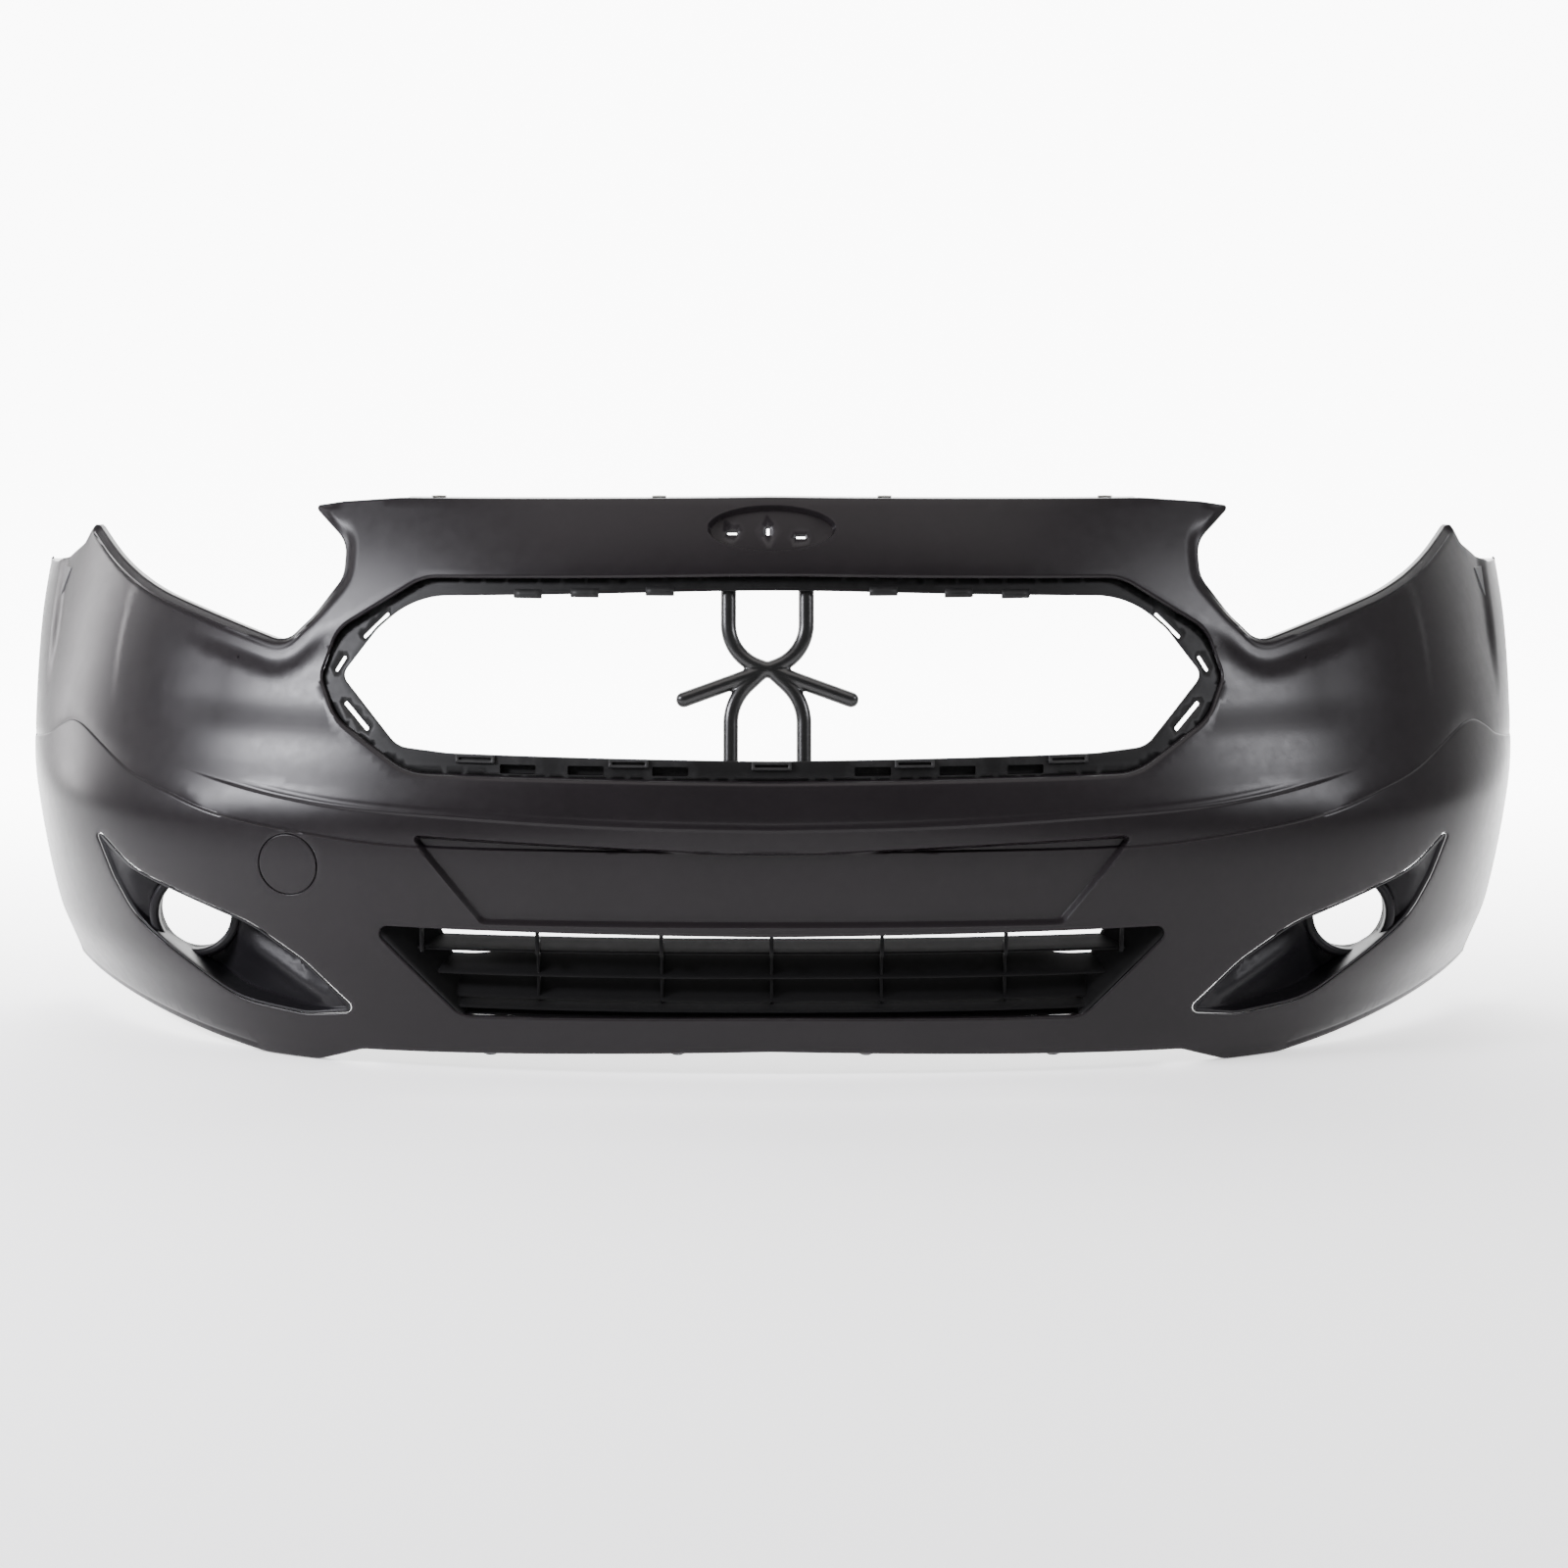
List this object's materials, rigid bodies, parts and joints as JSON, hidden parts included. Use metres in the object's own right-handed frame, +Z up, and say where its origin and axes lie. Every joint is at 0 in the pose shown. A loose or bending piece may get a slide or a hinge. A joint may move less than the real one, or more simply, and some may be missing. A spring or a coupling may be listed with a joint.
{
  "type": "bumper cover",
  "caption": "Front bumper cover of a small van with a grille opening, lower grille, lamp pockets and a round towing eye cap.",
  "frame": {"origin": "middle of the footprint, at the level of the lowest edge", "axes": "+Z up, -Y to the front of the van, +X to the van's left"},
  "size_m": [1.7414, 0.6273, 0.6078],
  "materials": {
    "moulded_black": "satin moulded black",
    "grille_black": "fine grained black",
    "brace_black": "smooth black",
    "guide_nylon": "natural moulded black",
    "rivet_nylon": "smooth black nylon",
    "spring_steel": "zinc flake",
    "screw_steel": "black zinc"
  },
  "bodies": {
    "cover": {"cover_skin": "moulded_black", "centre_brace": "brace_black", "lower_grille": "grille_black", "fog_bezel_left": "moulded_black", "fog_bezel_right": "moulded_black", "fog_lamp_carrier_left": "grille_black", "fog_lamp_carrier_right": "grille_black", "wing_guide_left": "guide_nylon", "wing_guide_right": "guide_nylon", "headlamp_bracket_left": "guide_nylon", "headlamp_bracket_right": "guide_nylon", "arch_clip_nuts_left": "spring_steel", "arch_clip_nuts_right": "spring_steel", "hood_flange_clip_nuts": "spring_steel", "fog_bezel_screws_left": "screw_steel", "fog_bezel_screws_right": "screw_steel", "headlamp_bracket_screws_left": "screw_steel", "headlamp_bracket_screws_right": "screw_steel", "lower_grille_screws": "screw_steel", "undertray_rivet_sleeves": "rivet_nylon"},
    "tow_eye_cap": {"tow_eye_cap": "moulded_black"},
    "undertray_rivet_pin_1": {"undertray_rivet_pin_1": "rivet_nylon"},
    "undertray_rivet_pin_2": {"undertray_rivet_pin_2": "rivet_nylon"},
    "undertray_rivet_pin_3": {"undertray_rivet_pin_3": "rivet_nylon"},
    "undertray_rivet_pin_4": {"undertray_rivet_pin_4": "rivet_nylon"}
  },
  "joints": [
    {"name": "tow_cap_pull", "type": "slide", "parent": "cover", "child": "tow_eye_cap", "axis": [0, -1, 0], "range_m": [0, 0.045]},
    {"name": "rivet_pin_1_pull", "type": "slide", "parent": "cover", "child": "undertray_rivet_pin_1", "axis": [0, 0, -1], "range_m": [0, 0.008]},
    {"name": "rivet_pin_2_pull", "type": "slide", "parent": "cover", "child": "undertray_rivet_pin_2", "axis": [0, 0, -1], "range_m": [0, 0.008]},
    {"name": "rivet_pin_3_pull", "type": "slide", "parent": "cover", "child": "undertray_rivet_pin_3", "axis": [0, 0, -1], "range_m": [0, 0.008]},
    {"name": "rivet_pin_4_pull", "type": "slide", "parent": "cover", "child": "undertray_rivet_pin_4", "axis": [0, 0, -1], "range_m": [0, 0.008]}
  ]
}
